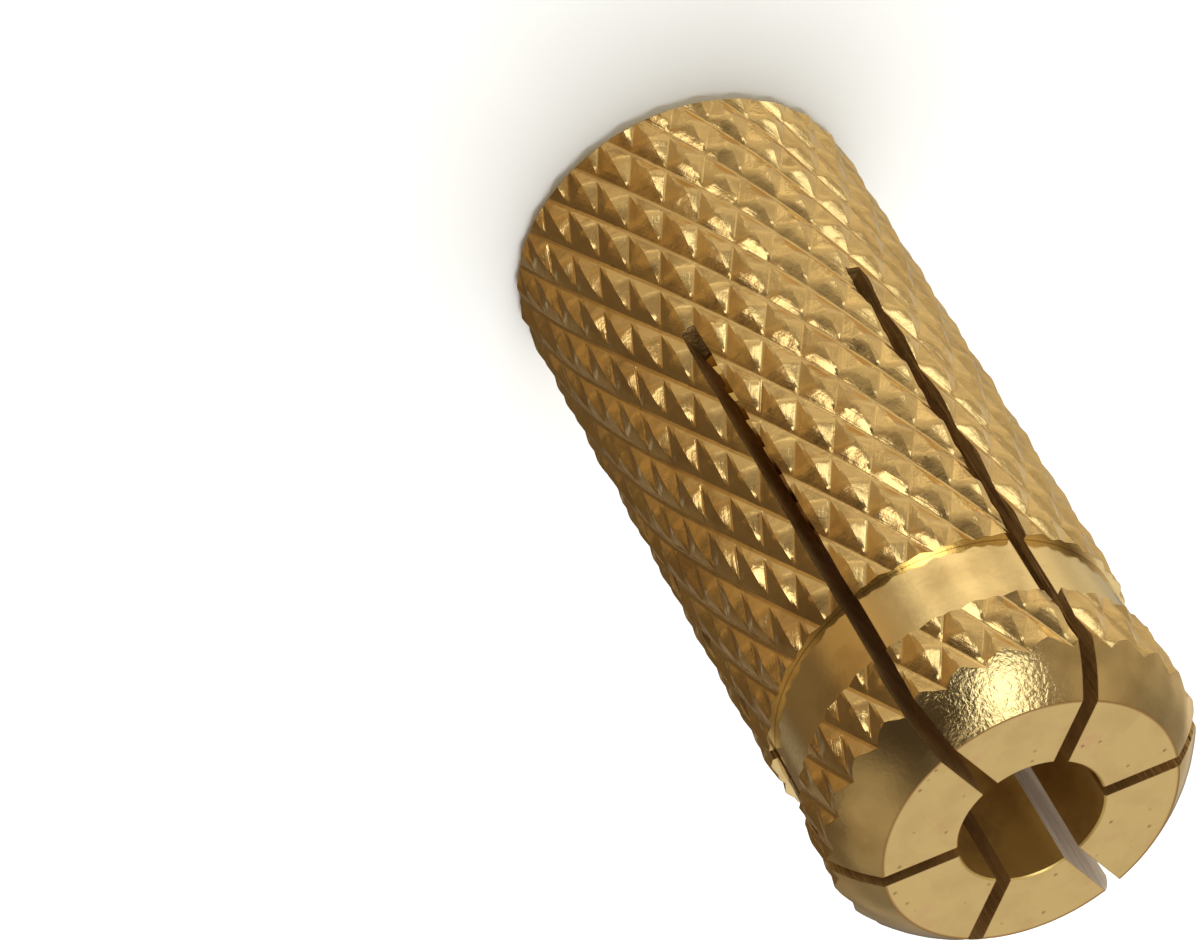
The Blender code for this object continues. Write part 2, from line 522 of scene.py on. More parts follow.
@dataclass
class BoltBore:
    """The inside of the anchor: countersink, bolt bore with its thread, cone and nose hole."""

    sizes: AnchorSizes
    steps: int = 168
    thread_steps: int = 112
    edge_break: float = 0.06 * MM
    root_flat: float = 0.075
    thread_fade: float = 5.0 * MM
    core_clearance: float = 0.1 * MM
    turns_below: int = 3
    flank_angle: float = math.radians(30.0)
    lead_in: float = 1.2
    lead_in_fade: float = 0.3
    end_clearance: float = 0.2 * MM
    thread_lead: float = math.radians(37.3)
    lip_width: float = 0.16 * MM
    lip_depth: float = 0.07 * MM

    def build_bore(self) -> bpy.types.Object:
        """Models the plain bore.

        Returns:
            The solid that the drills take out.
        """
        s = self.sizes
        lip_radius = s.countersink_radius - self.lip_width
        depth = lip_radius - s.bore_radius + self.lip_depth
        hole_edge = s.nose_hole_radius + self.edge_break
        rings = [(s.countersink_radius, -s.reach), (s.countersink_radius, 0.0)]
        rings += [(lip_radius, self.lip_depth), (s.bore_radius, depth), (s.bore_radius, s.cone_start)]
        rings += [(s.nose_hole_radius, s.cone_end), (s.nose_hole_radius, s.length - self.edge_break)]
        rings += [(hole_edge, s.length), (hole_edge, s.length + s.reach)]
        return turn_profile("bolt_bore", rings, self.steps)

    def build_thread(self) -> bpy.types.Object:
        """Models the tap: a rod with one helical ridge, faded at its upper end.

        Returns:
            The solid that the tap takes out.
        """
        s = self.sizes
        core = s.bore_radius - self.core_clearance
        flank = (s.thread_radius - core) * math.tan(self.flank_angle) / s.thread_pitch
        half_root = self.root_flat / 2
        marks = (-half_root, half_root, half_root + flank, 1 - half_root - flank)
        ridge = (1.0, 1.0, 0.0, 0.0)
        start = -self.turns_below * s.thread_pitch
        turns = math.floor((s.cone_start - start) / s.thread_pitch) - 1
        rod = flat_grid("thread_tap", self.thread_steps, len(marks) * turns)
        share = points_of(rod) + 0.5
        turn = self.thread_lead + share[:, 0] * math.tau
        row = np.round(share[:, 1] * len(marks) * turns).astype(int)
        pitch_share = row // len(marks) + np.array(marks)[row % len(marks)] + share[:, 0]
        height = start + s.thread_pitch * pitch_share
        turns_up = (height - start) / s.thread_pitch
        fade_in = np.clip((turns_up - self.lead_in) / self.lead_in_fade, 0, 1)
        fade_out = np.clip((s.thread_depth - height) / self.thread_fade, 0, 1)
        rise = np.array(ridge)[row % len(marks)] * fade_in * fade_out
        radius = core + (s.thread_radius - core) * rise
        move_points(rod, np.stack([radius * np.cos(turn), radius * np.sin(turn), height], axis=1))
        close_seam(rod, (start - s.reach, s.cone_start + self.end_clearance))
        return rod


@dataclass
class SawCut:
    """One saw cut right across the nose."""

    sizes: AnchorSizes
    turn: float
    width: float
    stop_height: float = 11.4 * MM

    def build(self) -> bpy.types.Object:
        """Models the slab that the saw takes out.

        Returns:
            The slab.
        """
        s = self.sizes
        top = s.length + s.reach
        deselect_all()
        bpy.ops.mesh.primitive_cube_add(size=1.0, location=(0.0, 0.0, (top + self.stop_height) / 2))
        slab = bpy.context.object
        slab.name = "saw_cut"
        slab.scale = (2 * (s.outer_radius + s.reach), self.width, top - self.stop_height)
        slab.rotation_euler = (0.0, 0.0, self.turn)
        bpy.ops.object.transform_apply(location=True, rotation=True, scale=True)
        return slab


class NodeSheet:
    """Adds the nodes of one node tree and joins them."""

    def __init__(self, tree: bpy.types.NodeTree) -> None:
        """Takes the tree that the nodes go into."""
        self.tree = tree

    def feed(self, socket: bpy.types.NodeSocket, value: object) -> None:
        """Joins an input to an output, or sets its value.

        Args:
            socket: The input.
            value: An output of the same tree, or a plain value.
        """
        if isinstance(value, bpy.types.NodeSocket):
            self.tree.links.new(value, socket)
        else:
            socket.default_value = value

    def add(self, kind: str, feeds: dict | None = None, **settings: object) -> bpy.types.Node:
        """Adds one node.

        Args:
            kind: Type of the node.
            feeds: What goes into its inputs, by their names or numbers.
            settings: Settings of the node.

        Returns:
            The node.
        """
        node = self.tree.nodes.new(kind)
        for key, value in settings.items():
            setattr(node, key, value)
        for key, value in (feeds or {}).items():
            self.feed(node.inputs[key], value)
        return node

    def calc(self, operation: str, *values: object) -> bpy.types.NodeSocket:
        """Adds a math node and returns its result."""
        return self.add("ShaderNodeMath", dict(enumerate(values)), operation=operation).outputs[0]

    def calc_vector(self, operation: str, *values: object) -> bpy.types.NodeSocket:
        """Adds a vector math node and returns its vector."""
        node = self.add("ShaderNodeVectorMath", dict(enumerate(values)), operation=operation)
        return node.outputs["Vector"]

    def ease(self, value: object, low: object, high: object) -> bpy.types.NodeSocket:
        """Rises smoothly from nought at one value to one at another."""
        feeds = {"Value": value, "From Min": low, "From Max": high}
        return self.add("ShaderNodeMapRange", feeds, interpolation_type="SMOOTHSTEP").outputs["Result"]

    def mix_colour(self, share: object, first: object, second: object) -> bpy.types.NodeSocket:
        """Mixes two colours by a share of the second."""
        node = self.add("ShaderNodeMix", data_type="RGBA")
        self.feed(node.inputs[0], share)
        self.feed(node.inputs[6], first)
        self.feed(node.inputs[7], second)
        return node.outputs[2]

    def mix_vector(self, share: object, first: object, second: object) -> bpy.types.NodeSocket:
        """Mixes two vectors by a share of the second, which may lie below nought."""
        node = self.add("ShaderNodeMix", data_type="VECTOR", clamp_factor=False)
        self.feed(node.inputs[0], share)
        self.feed(node.inputs[4], first)
        self.feed(node.inputs[5], second)
        return node.outputs[1]

    def mix_value(self, share: object, first: object, second: object) -> bpy.types.NodeSocket:
        """Mixes two values by a share of the second."""
        node = self.add("ShaderNodeMix", data_type="FLOAT")
        self.feed(node.inputs[0], share)
        self.feed(node.inputs[2], first)
        self.feed(node.inputs[3], second)
        return node.outputs[0]

    def scaled(self, vector: object, factor: object) -> bpy.types.NodeSocket:
        """Scales a vector by a factor."""
        feeds = {0: vector, "Scale": factor}
        return self.add("ShaderNodeVectorMath", feeds, operation="SCALE").outputs["Vector"]

    def radius_and_height(self, place: object) -> tuple[bpy.types.NodeSocket, bpy.types.NodeSocket]:
        """Finds how far from the axis and how high up a place is.

        Args:
            place: Object coordinates.

        Returns:
            The radius and the height.
        """
        x, y, height = self.add("ShaderNodeSeparateXYZ", {0: place}).outputs
        square = self.calc("ADD", self.calc("MULTIPLY", x, x), self.calc("MULTIPLY", y, y))
        return self.calc("SQRT", square), height

    def bump(self, height: object, depth: float, normal: object = None) -> bpy.types.NodeSocket:
        """Adds small relief to the surface.

        Args:
            height: Relief from nought to about one.
            depth: Height of the full relief.
            normal: Direction that the relief starts from, or None for the surface's own.

        Returns:
            The direction of the surface with its relief.
        """
        feeds = {"Height": height, "Distance": depth, "Strength": 1.0}
        if normal is not None:
            feeds["Normal"] = normal
        return self.add("ShaderNodeBump", feeds).outputs[0]


class SharedEffect:
    """A node group that the finishes place, each with values of its own."""

    name = "effect"
    inputs: dict[str, float] = {}
    outputs: tuple[str, ...] = ()

    @classmethod
    def draw(cls, sheet: NodeSheet, given: object, result: object) -> None:
        """Adds the nodes of the group.

        Args:
            sheet: The group's nodes.
            given: Sockets that bring the group's inputs.
            result: Sockets that take the group's outputs.
        """
        raise NotImplementedError

    @classmethod
    def group(cls) -> bpy.types.NodeTree:
        """Makes the group the first time it is asked for.

        Returns:
            The group.
        """
        known = bpy.data.node_groups.get(cls.name)
        if known:
            return known
        tree = bpy.data.node_groups.new(cls.name, "ShaderNodeTree")
        tree.interface.new_socket("Place", in_out="INPUT", socket_type="NodeSocketVector")
        for label, value in cls.inputs.items():
            socket = tree.interface.new_socket(label, in_out="INPUT", socket_type="NodeSocketFloat")
            socket.default_value = value
        for label in cls.outputs:
            tree.interface.new_socket(label, in_out="OUTPUT", socket_type="NodeSocketFloat")
        sheet = NodeSheet(tree)
        start = sheet.add("NodeGroupInput")
        end = sheet.add("NodeGroupOutput")
        cls.draw(sheet, start.outputs, end.inputs)
        return tree

    @classmethod
    def place(cls, sheet: NodeSheet, place: bpy.types.NodeSocket, **values: object) -> object:
        """Places the group in a material.

        Args:
            sheet: The material's nodes.
            place: Object coordinates.
            values: The group's inputs, with underscores for the spaces in their names.

        Returns:
            The outputs of the group.
        """
        node = sheet.add("ShaderNodeGroup", node_tree=cls.group())
        sheet.feed(node.inputs["Place"], place)
        for key, value in values.items():
            sheet.feed(node.inputs[key.replace("_", " ")], value)
        return node.outputs


class KnurlLattice(SharedEffect):
    """Where a place lies between the grooves of the knurl, nought at a groove and a half at a point."""

    name = "knurl_lattice"
    inputs = {"Points Round": 1.0, "First Turn": 0.0, "Twist": 0.0, "First Height": 0.0, "Half Pitch": 1.0}
    outputs = ("From Falling", "From Rising", "Above Falling", "Cell")

    @classmethod
    def draw(cls, sheet: NodeSheet, given: object, result: object) -> None:
        """Adds the nodes of the group.

        Args:
            sheet: The group's nodes.
            given: Sockets that bring the group's inputs.
            result: Sockets that take the group's outputs.
        """
        x, y, z = sheet.add("ShaderNodeSeparateXYZ", {0: given["Place"]}).outputs
        rise = sheet.calc("SUBTRACT", z, given["First Height"])
        turn = sheet.calc("SUBTRACT", sheet.calc("ARCTAN2", y, x), given["First Turn"])
        turn = sheet.calc("SUBTRACT", turn, sheet.calc("MULTIPLY", rise, given["Twist"]))
        columns = sheet.calc("DIVIDE", given["Points Round"], math.pi)
        column = sheet.calc("MULTIPLY", turn, columns)
        row = sheet.calc("DIVIDE", rise, given["Half Pitch"])
        cells = []
        for operation, family in (("ADD", "Falling"), ("SUBTRACT", "Rising")):
            lane = sheet.calc("MULTIPLY", sheet.calc(operation, column, row), 0.5)
            share = sheet.calc("FRACT", lane)
            from_groove = sheet.calc("ABSOLUTE", sheet.calc("SUBTRACT", share, 0.5))
            sheet.feed(result[f"From {family}"], from_groove)
            if family == "Falling":
                sheet.feed(result["Above Falling"], sheet.calc("GREATER_THAN", share, 0.5))
            nearest = sheet.calc("ROUND", lane)
            cells.append(sheet.calc("FLOORED_MODULO", nearest, given["Points Round"]))
        cell = sheet.add("ShaderNodeCombineXYZ", {0: cells[0], 1: cells[1]}).outputs[0]
        chance = sheet.add("ShaderNodeTexWhiteNoise", {"Vector": cell}, noise_dimensions="3D")
        sheet.feed(result["Cell"], chance.outputs["Value"])


class DrawnStreaks(SharedEffect):
    """Fine streaks that run up the part, turning round its axis as they go."""

    name = "drawn_streaks"
    inputs = {"Twist": 0.0, "Across": 9000.0, "Along": 500.0}
    outputs = ("Streak",)

    @classmethod
    def draw(cls, sheet: NodeSheet, given: object, result: object) -> None:
        """Adds the nodes of the group.

        Args:
            sheet: The group's nodes.
            given: Sockets that bring the group's inputs.
            result: Sockets that take the group's outputs.
        """
        height = sheet.add("ShaderNodeSeparateXYZ", {0: given["Place"]}).outputs[2]
        back = sheet.calc("MULTIPLY", sheet.calc("MULTIPLY", height, given["Twist"]), -1.0)
        straight = sheet.add(
            "ShaderNodeVectorRotate", {"Vector": given["Place"], "Angle": back}, rotation_type="Z_AXIS"
        )
        feeds = {0: given["Across"], 1: given["Across"], 2: given["Along"]}
        stretch = sheet.add("ShaderNodeCombineXYZ", feeds).outputs[0]
        grain = sheet.calc_vector("MULTIPLY", straight.outputs[0], stretch)
        feeds = {"Vector": grain, "Scale": 1.0, "Detail": 3.0, "Roughness": 0.6}
        streak = sheet.add("ShaderNodeTexNoise", feeds, noise_dimensions="3D")
        sheet.feed(result["Streak"], streak.outputs[0])


class TurningMarks(SharedEffect):
    """Fine rings that a lathe tool leaves round the axis."""

    name = "turning_marks"
    inputs = {"Across": 6000.0, "Around": 250.0}
    outputs = ("Ring",)

    @classmethod
    def draw(cls, sheet: NodeSheet, given: object, result: object) -> None:
        """Adds the nodes of the group.

        Args:
            sheet: The group's nodes.
            given: Sockets that bring the group's inputs.
            result: Sockets that take the group's outputs.
        """
        radius, _ = sheet.radius_and_height(given["Place"])
        feeds = {0: given["Around"], 1: given["Around"], 2: given["Across"]}
        stretch = sheet.add("ShaderNodeCombineXYZ", feeds).outputs[0]
        grain = sheet.calc_vector("MULTIPLY", given["Place"], stretch)
        feeds = {"Vector": grain, "W": sheet.calc("MULTIPLY", radius, given["Across"])}
        feeds.update({"Scale": 1.0, "Detail": 3.0, "Roughness": 0.6})
        ring = sheet.add("ShaderNodeTexNoise", feeds, noise_dimensions="4D")
        sheet.feed(result["Ring"], ring.outputs[0])


class TarnishClouds(SharedEffect):
    """Soft irregular patches, for tarnish and for uneven skins."""

    name = "tarnish_clouds"
    inputs = {"Fineness": 300.0, "From": 0.45, "To": 0.65}
    outputs = ("Cloud",)

    @classmethod
    def draw(cls, sheet: NodeSheet, given: object, result: object) -> None:
        """Adds the nodes of the group.

        Args:
            sheet: The group's nodes.
            given: Sockets that bring the group's inputs.
            result: Sockets that take the group's outputs.
        """
        feeds = {"Vector": given["Place"], "Scale": given["Fineness"], "Detail": 4.0, "Roughness": 0.55}
        cloud = sheet.add("ShaderNodeTexNoise", feeds, noise_dimensions="3D")
        sheet.feed(result["Cloud"], sheet.ease(cloud.outputs[0], given["From"], given["To"]))


class SmallPits(SharedEffect):
    """Small scattered pits."""

    name = "small_pits"
    inputs = {"Fineness": 1200.0, "Reach": 0.12}
    outputs = ("Pit",)

    @classmethod
    def draw(cls, sheet: NodeSheet, given: object, result: object) -> None:
        """Adds the nodes of the group.

        Args:
            sheet: The group's nodes.
            given: Sockets that bring the group's inputs.
            result: Sockets that take the group's outputs.
        """
        feeds = {"Vector": given["Place"], "Scale": given["Fineness"]}
        pits = sheet.add("ShaderNodeTexVoronoi", feeds, voronoi_dimensions="3D")
        inside = sheet.ease(pits.outputs["Distance"], given["Reach"], 0.0)
        sheet.feed(result["Pit"], inside)


class WornEdge(SharedEffect):
    """Where two faces meet at an edge, found from a rounded normal."""

    name = "worn_edge"
    inputs = {"Reach": 0.06 * MM, "Gain": 6.0}
    outputs = ("Edge",)

    @classmethod
    def draw(cls, sheet: NodeSheet, given: object, result: object) -> None:
        """Adds the nodes of the group.

        Args:
            sheet: The group's nodes.
            given: Sockets that bring the group's inputs.
            result: Sockets that take the group's outputs.
        """
        rounded = sheet.add("ShaderNodeBevel", {"Radius": given["Reach"]}, samples=4)
        flat = sheet.add("ShaderNodeNewGeometry").outputs["True Normal"]
        match = sheet.add("ShaderNodeVectorMath", {0: rounded.outputs[0], 1: flat}, operation="DOT_PRODUCT")
        missing = sheet.calc("SUBTRACT", 1.0, match.outputs["Value"])
        edge = sheet.add("ShaderNodeClamp", {0: sheet.calc("MULTIPLY", missing, given["Gain"])})
        sheet.feed(result["Edge"], edge.outputs[0])


@dataclass(frozen=True)
class Clouding:
    """How fine and how sharp the soft patches of one mark are.

    Args:
        fineness: Patches to the metre, more or less.
        start: Noise at which a patch starts.
        full: Noise at which it is full.
    """

    fineness: float
    start: float
    full: float

    def over(self, sheet: NodeSheet, place: bpy.types.NodeSocket) -> bpy.types.NodeSocket:
        """Spreads the patches over a material.

        Args:
            sheet: The material's nodes.
            place: Object coordinates.

        Returns:
            One in the patches and nought between them.
        """
        placed = TarnishClouds.place(sheet, place, Fineness=self.fineness, From=self.start, To=self.full)
        return placed["Cloud"]


@dataclass(frozen=True)
class EdgeWear:
    """How far an edge mark reaches from an edge, and how strong it is: brown tarnish on the lathe work and
    the ends, bare burrs and a painted highlight on the saw cuts.

    Args:
        reach: Distance from the edge.
        gain: Strength at the edge.
    """

    reach: float
    gain: float

    def over(self, sheet: NodeSheet, place: bpy.types.NodeSocket) -> bpy.types.NodeSocket:
        """Lays the wear along the edges of a material.

        Args:
            sheet: The material's nodes.
            place: Object coordinates.

        Returns:
            One at the edges and nought on the faces.
        """
        return WornEdge.place(sheet, place, Reach=self.reach, Gain=self.gain)["Edge"]


Colour = tuple[float, float, float]


@dataclass(frozen=True)
class BrassFinish:
    """A finish of the brass. Each kind of work adds its own marks.

    Args:
        work: The kind of worked surface.
        tone: Colour of the clean metal.
        stain: Colour where it is tarnished or dirty.
        roughness: How blurred its reflections are.
        bareness: Share of bare metal, the rest being dull, dirty and oxidised.
    """

    work: Work = Work.TURNED
    tone: Colour = (0.82, 0.58, 0.26)
    stain: Colour = (0.36, 0.17, 0.05)
    roughness: float = 0.2
    bareness: float = 1.0

    def build(self) -> bpy.types.Material:
        """Makes the material.

        Returns:
            The material.
        """
        metal = bpy.data.materials.new(self.work.value)
        metal.use_nodes = True
        sheet = NodeSheet(metal.node_tree)
        shader = metal.node_tree.nodes["Principled BSDF"]
        shader.inputs["Metallic"].default_value = self.bareness
        shader.inputs["Base Color"].default_value = (*self.tone, 1.0)
        shader.inputs["Roughness"].default_value = self.roughness
        place = sheet.add("ShaderNodeTexCoord").outputs["Object"]
        self.dress(sheet, place, shader.inputs)
        return metal

    def dress(self, sheet: NodeSheet, place: bpy.types.NodeSocket, shader: object) -> None:
        """Adds the marks of the work.

        Args:
            sheet: The material's nodes.
            place: Object coordinates.
            shader: Inputs of the shader.
        """

    def stained(self, sheet: NodeSheet, share: object) -> bpy.types.NodeSocket:
        """Mixes the clean and the tarnished colour.

        Args:
            sheet: The material's nodes.
            share: Share of tarnish.

        Returns:
            The colour.
        """
        return sheet.mix_colour(share, (*self.tone, 1.0), (*self.stain, 1.0))


@dataclass(frozen=True)
class KnurledFinish(BrassFinish):
    """The pressed flanks: streaked along their grooves, with bright flat groove bottoms.

    Widths are shares of the way from one groove to the next. The flanks are shaded steeper
    than their form, and tilted, because with true slopes they show too little contrast.
    """

    work: Work = Work.KNURLED
    roughness: float = 0.13
    pattern: KnurlPattern = KnurlPattern()
    bottom_width: float = 0.018
    worn_width: float = 0.11
    worn_share: float = 0.85
    crest_start: float = 0.84
    crest_full: float = 0.98
    flat_share: float = 0.75
    steeper: float = 0.45
    tilt_up: float = 0.15
    tilt_round: float = -0.03
    streak_height: float = 0.006 * MM
    swirl_height: float = 0.009 * MM
    rubbed: Clouding = Clouding(220.0, 0.42, 0.6)
    broken: Clouding = Clouding(1400.0, 0.3, 0.6)
    swirls: Clouding = Clouding(1500.0, 0.25, 0.75)
    tarnish: Clouding = Clouding(420.0, 0.45, 0.75)
    tarnish_share: float = 0.35
    # Share of the darker bands beside the deep grooves.
    groove_side_share: float = 0.35
    streak_roughness: float = 0.12
    point_roughness: float = 0.06

    def dress(self, sheet: NodeSheet, place: bpy.types.NodeSocket, shader: object) -> None:
        """Adds streaks, groove bottoms, flattened crests and darker bands beside the deep grooves.

        Args:
            sheet: The material's nodes.
            place: Object coordinates.
            shader: Inputs of the shader.
        """
        pattern = self.pattern
        lattice = KnurlLattice.place(
            sheet,
            place,
            Points_Round=pattern.points_round,
            First_Turn=pattern.first_point_turn,
            Twist=pattern.twist,
            First_Height=pattern.first_point_height,
            Half_Pitch=pattern.half_pitch,
        )
        from_falling = lattice["From Falling"]
        from_rising = lattice["From Rising"]
        shallow_share = pattern.shallow_share
        deep = sheet.calc("MULTIPLY", from_falling, 2.0)
        shallow = sheet.calc("MULTIPLY_ADD", from_rising, 2 * (1 - shallow_share), shallow_share)
        on_falling = sheet.calc("LESS_THAN", deep, shallow)
        twist = sheet.mix_value(on_falling, pattern.rising_twist, pattern.falling_twist)
        streak = DrawnStreaks.place(sheet, place, Twist=twist)["Streak"]
        broken = self.broken.over(sheet, place)

        outer, inner = 1.6 * self.bottom_width, 0.6 * self.bottom_width
        deep_bottom = sheet.ease(from_falling, outer, inner)
        shallow_bottom = sheet.ease(from_rising, outer, inner)
        on_rising = sheet.calc("SUBTRACT", 1.0, on_falling)
        shallow_bottom = sheet.calc("MULTIPLY", shallow_bottom, on_rising)
        bottom = sheet.calc("MAXIMUM", deep_bottom, shallow_bottom)
        height = sheet.calc("MINIMUM", deep, shallow)
        crest = sheet.ease(height, self.crest_start, self.crest_full)
        crest = sheet.calc("MULTIPLY", crest, self.rubbed.over(sheet, place))
        flat = sheet.calc("MAXIMUM", sheet.calc("MULTIPLY", bottom, broken), crest)
        worn = sheet.ease(from_falling, self.worn_width, 0.4 * self.worn_width)
        worn = sheet.calc("MULTIPLY", worn, lattice["Above Falling"])
        flat = sheet.calc("MAXIMUM", flat, sheet.calc("MULTIPLY", worn, self.worn_share))

        swirl = self.swirls.over(sheet, place)
        marks = sheet.calc("MULTIPLY_ADD", streak, self.streak_height / self.swirl_height, swirl)
        normal = self.flank_normal(sheet, place, flat)
        sheet.feed(shader["Normal"], sheet.bump(marks, self.swirl_height, normal))

        # Darker bands along both sides of the deep groove bottoms, broken into patches.
        beside = sheet.ease(from_falling, 4.0 * self.bottom_width, 2.0 * self.bottom_width)
        groove_side_darkening = sheet.calc("MULTIPLY", beside, sheet.calc("SUBTRACT", 1.0, deep_bottom))
        groove_side_darkening = sheet.calc("MULTIPLY", groove_side_darkening, sheet.calc("SUBTRACT", self.groove_side_share, broken))
        tarnish = sheet.calc("MULTIPLY", self.tarnish.over(sheet, place), self.tarnish_share)
        stain = sheet.calc("MAXIMUM", groove_side_darkening, tarnish)
        sheet.feed(shader["Base Color"], self.stained(sheet, stain))
        smoothest = self.roughness - self.streak_roughness / 2
        rough = sheet.calc("MULTIPLY_ADD", streak, self.streak_roughness, smoothest)
        rough = sheet.calc("MULTIPLY_ADD", lattice["Cell"], self.point_roughness, rough)
        sheet.feed(shader["Roughness"], rough)

    def flank_normal(
        self, sheet: NodeSheet, place: bpy.types.NodeSocket, flat: bpy.types.NodeSocket
    ) -> bpy.types.NodeSocket:
        """Finds which way the flanks and the flattened parts face.

        Args:
            sheet: The material's nodes.
            place: Object coordinates.
            flat: Share by which a place is flattened.

        Returns:
            The direction.
        """
        up = (0.0, 0.0, 1.0)
        outward = sheet.calc_vector("MULTIPLY", place, (1.0, 1.0, 0.0))
        outward = sheet.calc_vector("NORMALIZE", outward)
        around = sheet.calc_vector("CROSS_PRODUCT", up, outward)
        facet = sheet.add("ShaderNodeNewGeometry").outputs["Normal"]
        aside = sheet.calc_vector("ADD", sheet.scaled(around, self.tilt_round), (0.0, 0.0, self.tilt_up))
        flank = sheet.calc_vector("ADD", sheet.mix_vector(-self.steeper, facet, outward), aside)
        share = sheet.calc("MULTIPLY", flat, self.flat_share)
        return sheet.calc_vector("NORMALIZE", sheet.mix_vector(share, flank, outward))


@dataclass(frozen=True)
class TurnedFinish(BrassFinish):
    """Lathe work: fine rings, a wrinkled skin on the nose band and brown edges."""

    work: Work = Work.TURNED
    roughness: float = 0.17
    fresh: Colour = (0.99, 0.76, 0.39)
    skin_start: float = 31.0 * MM
    skin_blend: float = 0.5 * MM
    skin_height: float = 0.012 * MM
    skin_middle: float = -0.9 * MM
    skin_reach: float = 2.2 * MM
    skin_least: float = 0.15
    skin: Clouding = Clouding(4400.0, 0.25, 0.75)
    ring_height: float = 0.0012 * MM
    ring_roughness: float = 0.1
    edge: EdgeWear = EdgeWear(0.08 * MM, 9.0)
    edge_share: float = 0.7
    tarnish: Clouding = Clouding(380.0, 0.48, 0.72)
    tarnish_share: float = 0.3

    def dress(self, sheet: NodeSheet, place: bpy.types.NodeSocket, shader: object) -> None:
        """Adds rings, wrinkled skin, tarnish and brown edges.

        Args:
            sheet: The material's nodes.
            place: Object coordinates.
            shader: Inputs of the shader.
        """
        x, _, height = sheet.add("ShaderNodeSeparateXYZ", {0: place}).outputs
        aside = sheet.calc("ABSOLUTE", sheet.calc("SUBTRACT", x, self.skin_middle))
        on_band = sheet.ease(height, self.skin_start, self.skin_start + self.skin_blend)
        in_reach = sheet.ease(aside, 1.3 * self.skin_reach, 0.8 * self.skin_reach)
        wrinkled = sheet.calc("MULTIPLY", on_band, in_reach)
        share = sheet.calc("MULTIPLY_ADD", wrinkled, 1 - self.skin_least, self.skin_least)
        skin = sheet.calc("MULTIPLY", self.skin.over(sheet, place), share)
        ring = TurningMarks.place(sheet, place)["Ring"]
        marks = sheet.calc("MULTIPLY_ADD", ring, self.ring_height / self.skin_height, skin)
        sheet.feed(shader["Normal"], sheet.bump(marks, self.skin_height))
        edge = sheet.calc("MULTIPLY", self.edge.over(sheet, place), self.edge_share)
        tarnish = sheet.calc("MULTIPLY", self.tarnish.over(sheet, place), self.tarnish_share)
        clean = sheet.mix_colour(on_band, (*self.fresh, 1.0), (*self.tone, 1.0))
        stain = sheet.calc("MAXIMUM", edge, tarnish)
        sheet.feed(shader["Base Color"], sheet.mix_colour(stain, clean, (*self.stain, 1.0)))
        smoothest = self.roughness - self.ring_roughness / 2
        rough = sheet.calc("MULTIPLY_ADD", ring, self.ring_roughness, smoothest)
        sheet.feed(shader["Roughness"], rough)


@dataclass(frozen=True)
class FacedFinish(BrassFinish):
    """The flat satin ends: small dark pits, faint pink spots and a brown edge line."""

    work: Work = Work.FACED
    tone: Colour = (0.82, 0.59, 0.26)
    roughness: float = 0.36
    pink: Colour = (0.80, 0.46, 0.27)
    pink_spots: Clouding = Clouding(900.0, 0.56, 0.7)
    pink_share: float = 0.4
    pit_fineness: float = 1300.0
    pit_reach: float = 0.15
    pit_depth: float = 0.02 * MM
    pit_share: float = 0.8
    rim_radius: float = 5.93 * MM
    rim_width: float = 0.14 * MM
    nose_start: float = 30.0 * MM
    edge: EdgeWear = EdgeWear(0.06 * MM, 8.0)
    edge_share: float = 0.9
    blotches: Clouding = Clouding(750.0, 0.4, 0.72)
    blotch_share: float = 0.15
    mottling: Clouding = Clouding(1800.0, 0.3, 0.7)
    mottling_height: float = 0.2
    ring_height: float = 0.05
    ring_roughness: float = 0.12

    def dress(self, sheet: NodeSheet, place: bpy.types.NodeSocket, shader: object) -> None:
        """Adds pits, pink spots, a worn edge and faint rings.

        Args:
            sheet: The material's nodes.
            place: Object coordinates.
            shader: Inputs of the shader.
        """
        pit = SmallPits.place(sheet, place, Fineness=self.pit_fineness, Reach=self.pit_reach)["Pit"]
        ring = TurningMarks.place(sheet, place, Across=4000.0, Around=400.0)["Ring"]
        radius, height = sheet.radius_and_height(place)
        rim_start = self.rim_radius - self.rim_width
        rim = sheet.ease(radius, rim_start, rim_start + 0.8 * self.rim_width)
        rim = sheet.calc("MULTIPLY", rim, sheet.calc("GREATER_THAN", height, self.nose_start))
        edge = sheet.calc("MAXIMUM", self.edge.over(sheet, place), rim)
        spots = sheet.calc("MULTIPLY", self.pink_spots.over(sheet, place), self.pink_share)
        clean = sheet.mix_colour(spots, (*self.tone, 1.0), (*self.pink, 1.0))
        edge_stain = sheet.calc("MULTIPLY", edge, self.edge_share)
        stain = sheet.calc("MAXIMUM", edge_stain, sheet.calc("MULTIPLY", pit, self.pit_share))
        blotches = sheet.calc("MULTIPLY", self.blotches.over(sheet, place), self.blotch_share)
        stain = sheet.calc("MAXIMUM", stain, blotches)
        sheet.feed(shader["Base Color"], sheet.mix_colour(stain, clean, (*self.stain, 1.0)))
        mottled = sheet.calc("MULTIPLY", self.mottling.over(sheet, place), self.mottling_height)
        relief = sheet.calc("MULTIPLY_ADD", ring, self.ring_height, mottled)
        sheet.feed(shader["Normal"], sheet.bump(sheet.calc("SUBTRACT", relief, pit), self.pit_depth))
        smoothest = self.roughness - self.ring_roughness / 2
        rough = sheet.calc("MULTIPLY_ADD", ring, self.ring_roughness, smoothest)
        sheet.feed(shader["Roughness"], rough)


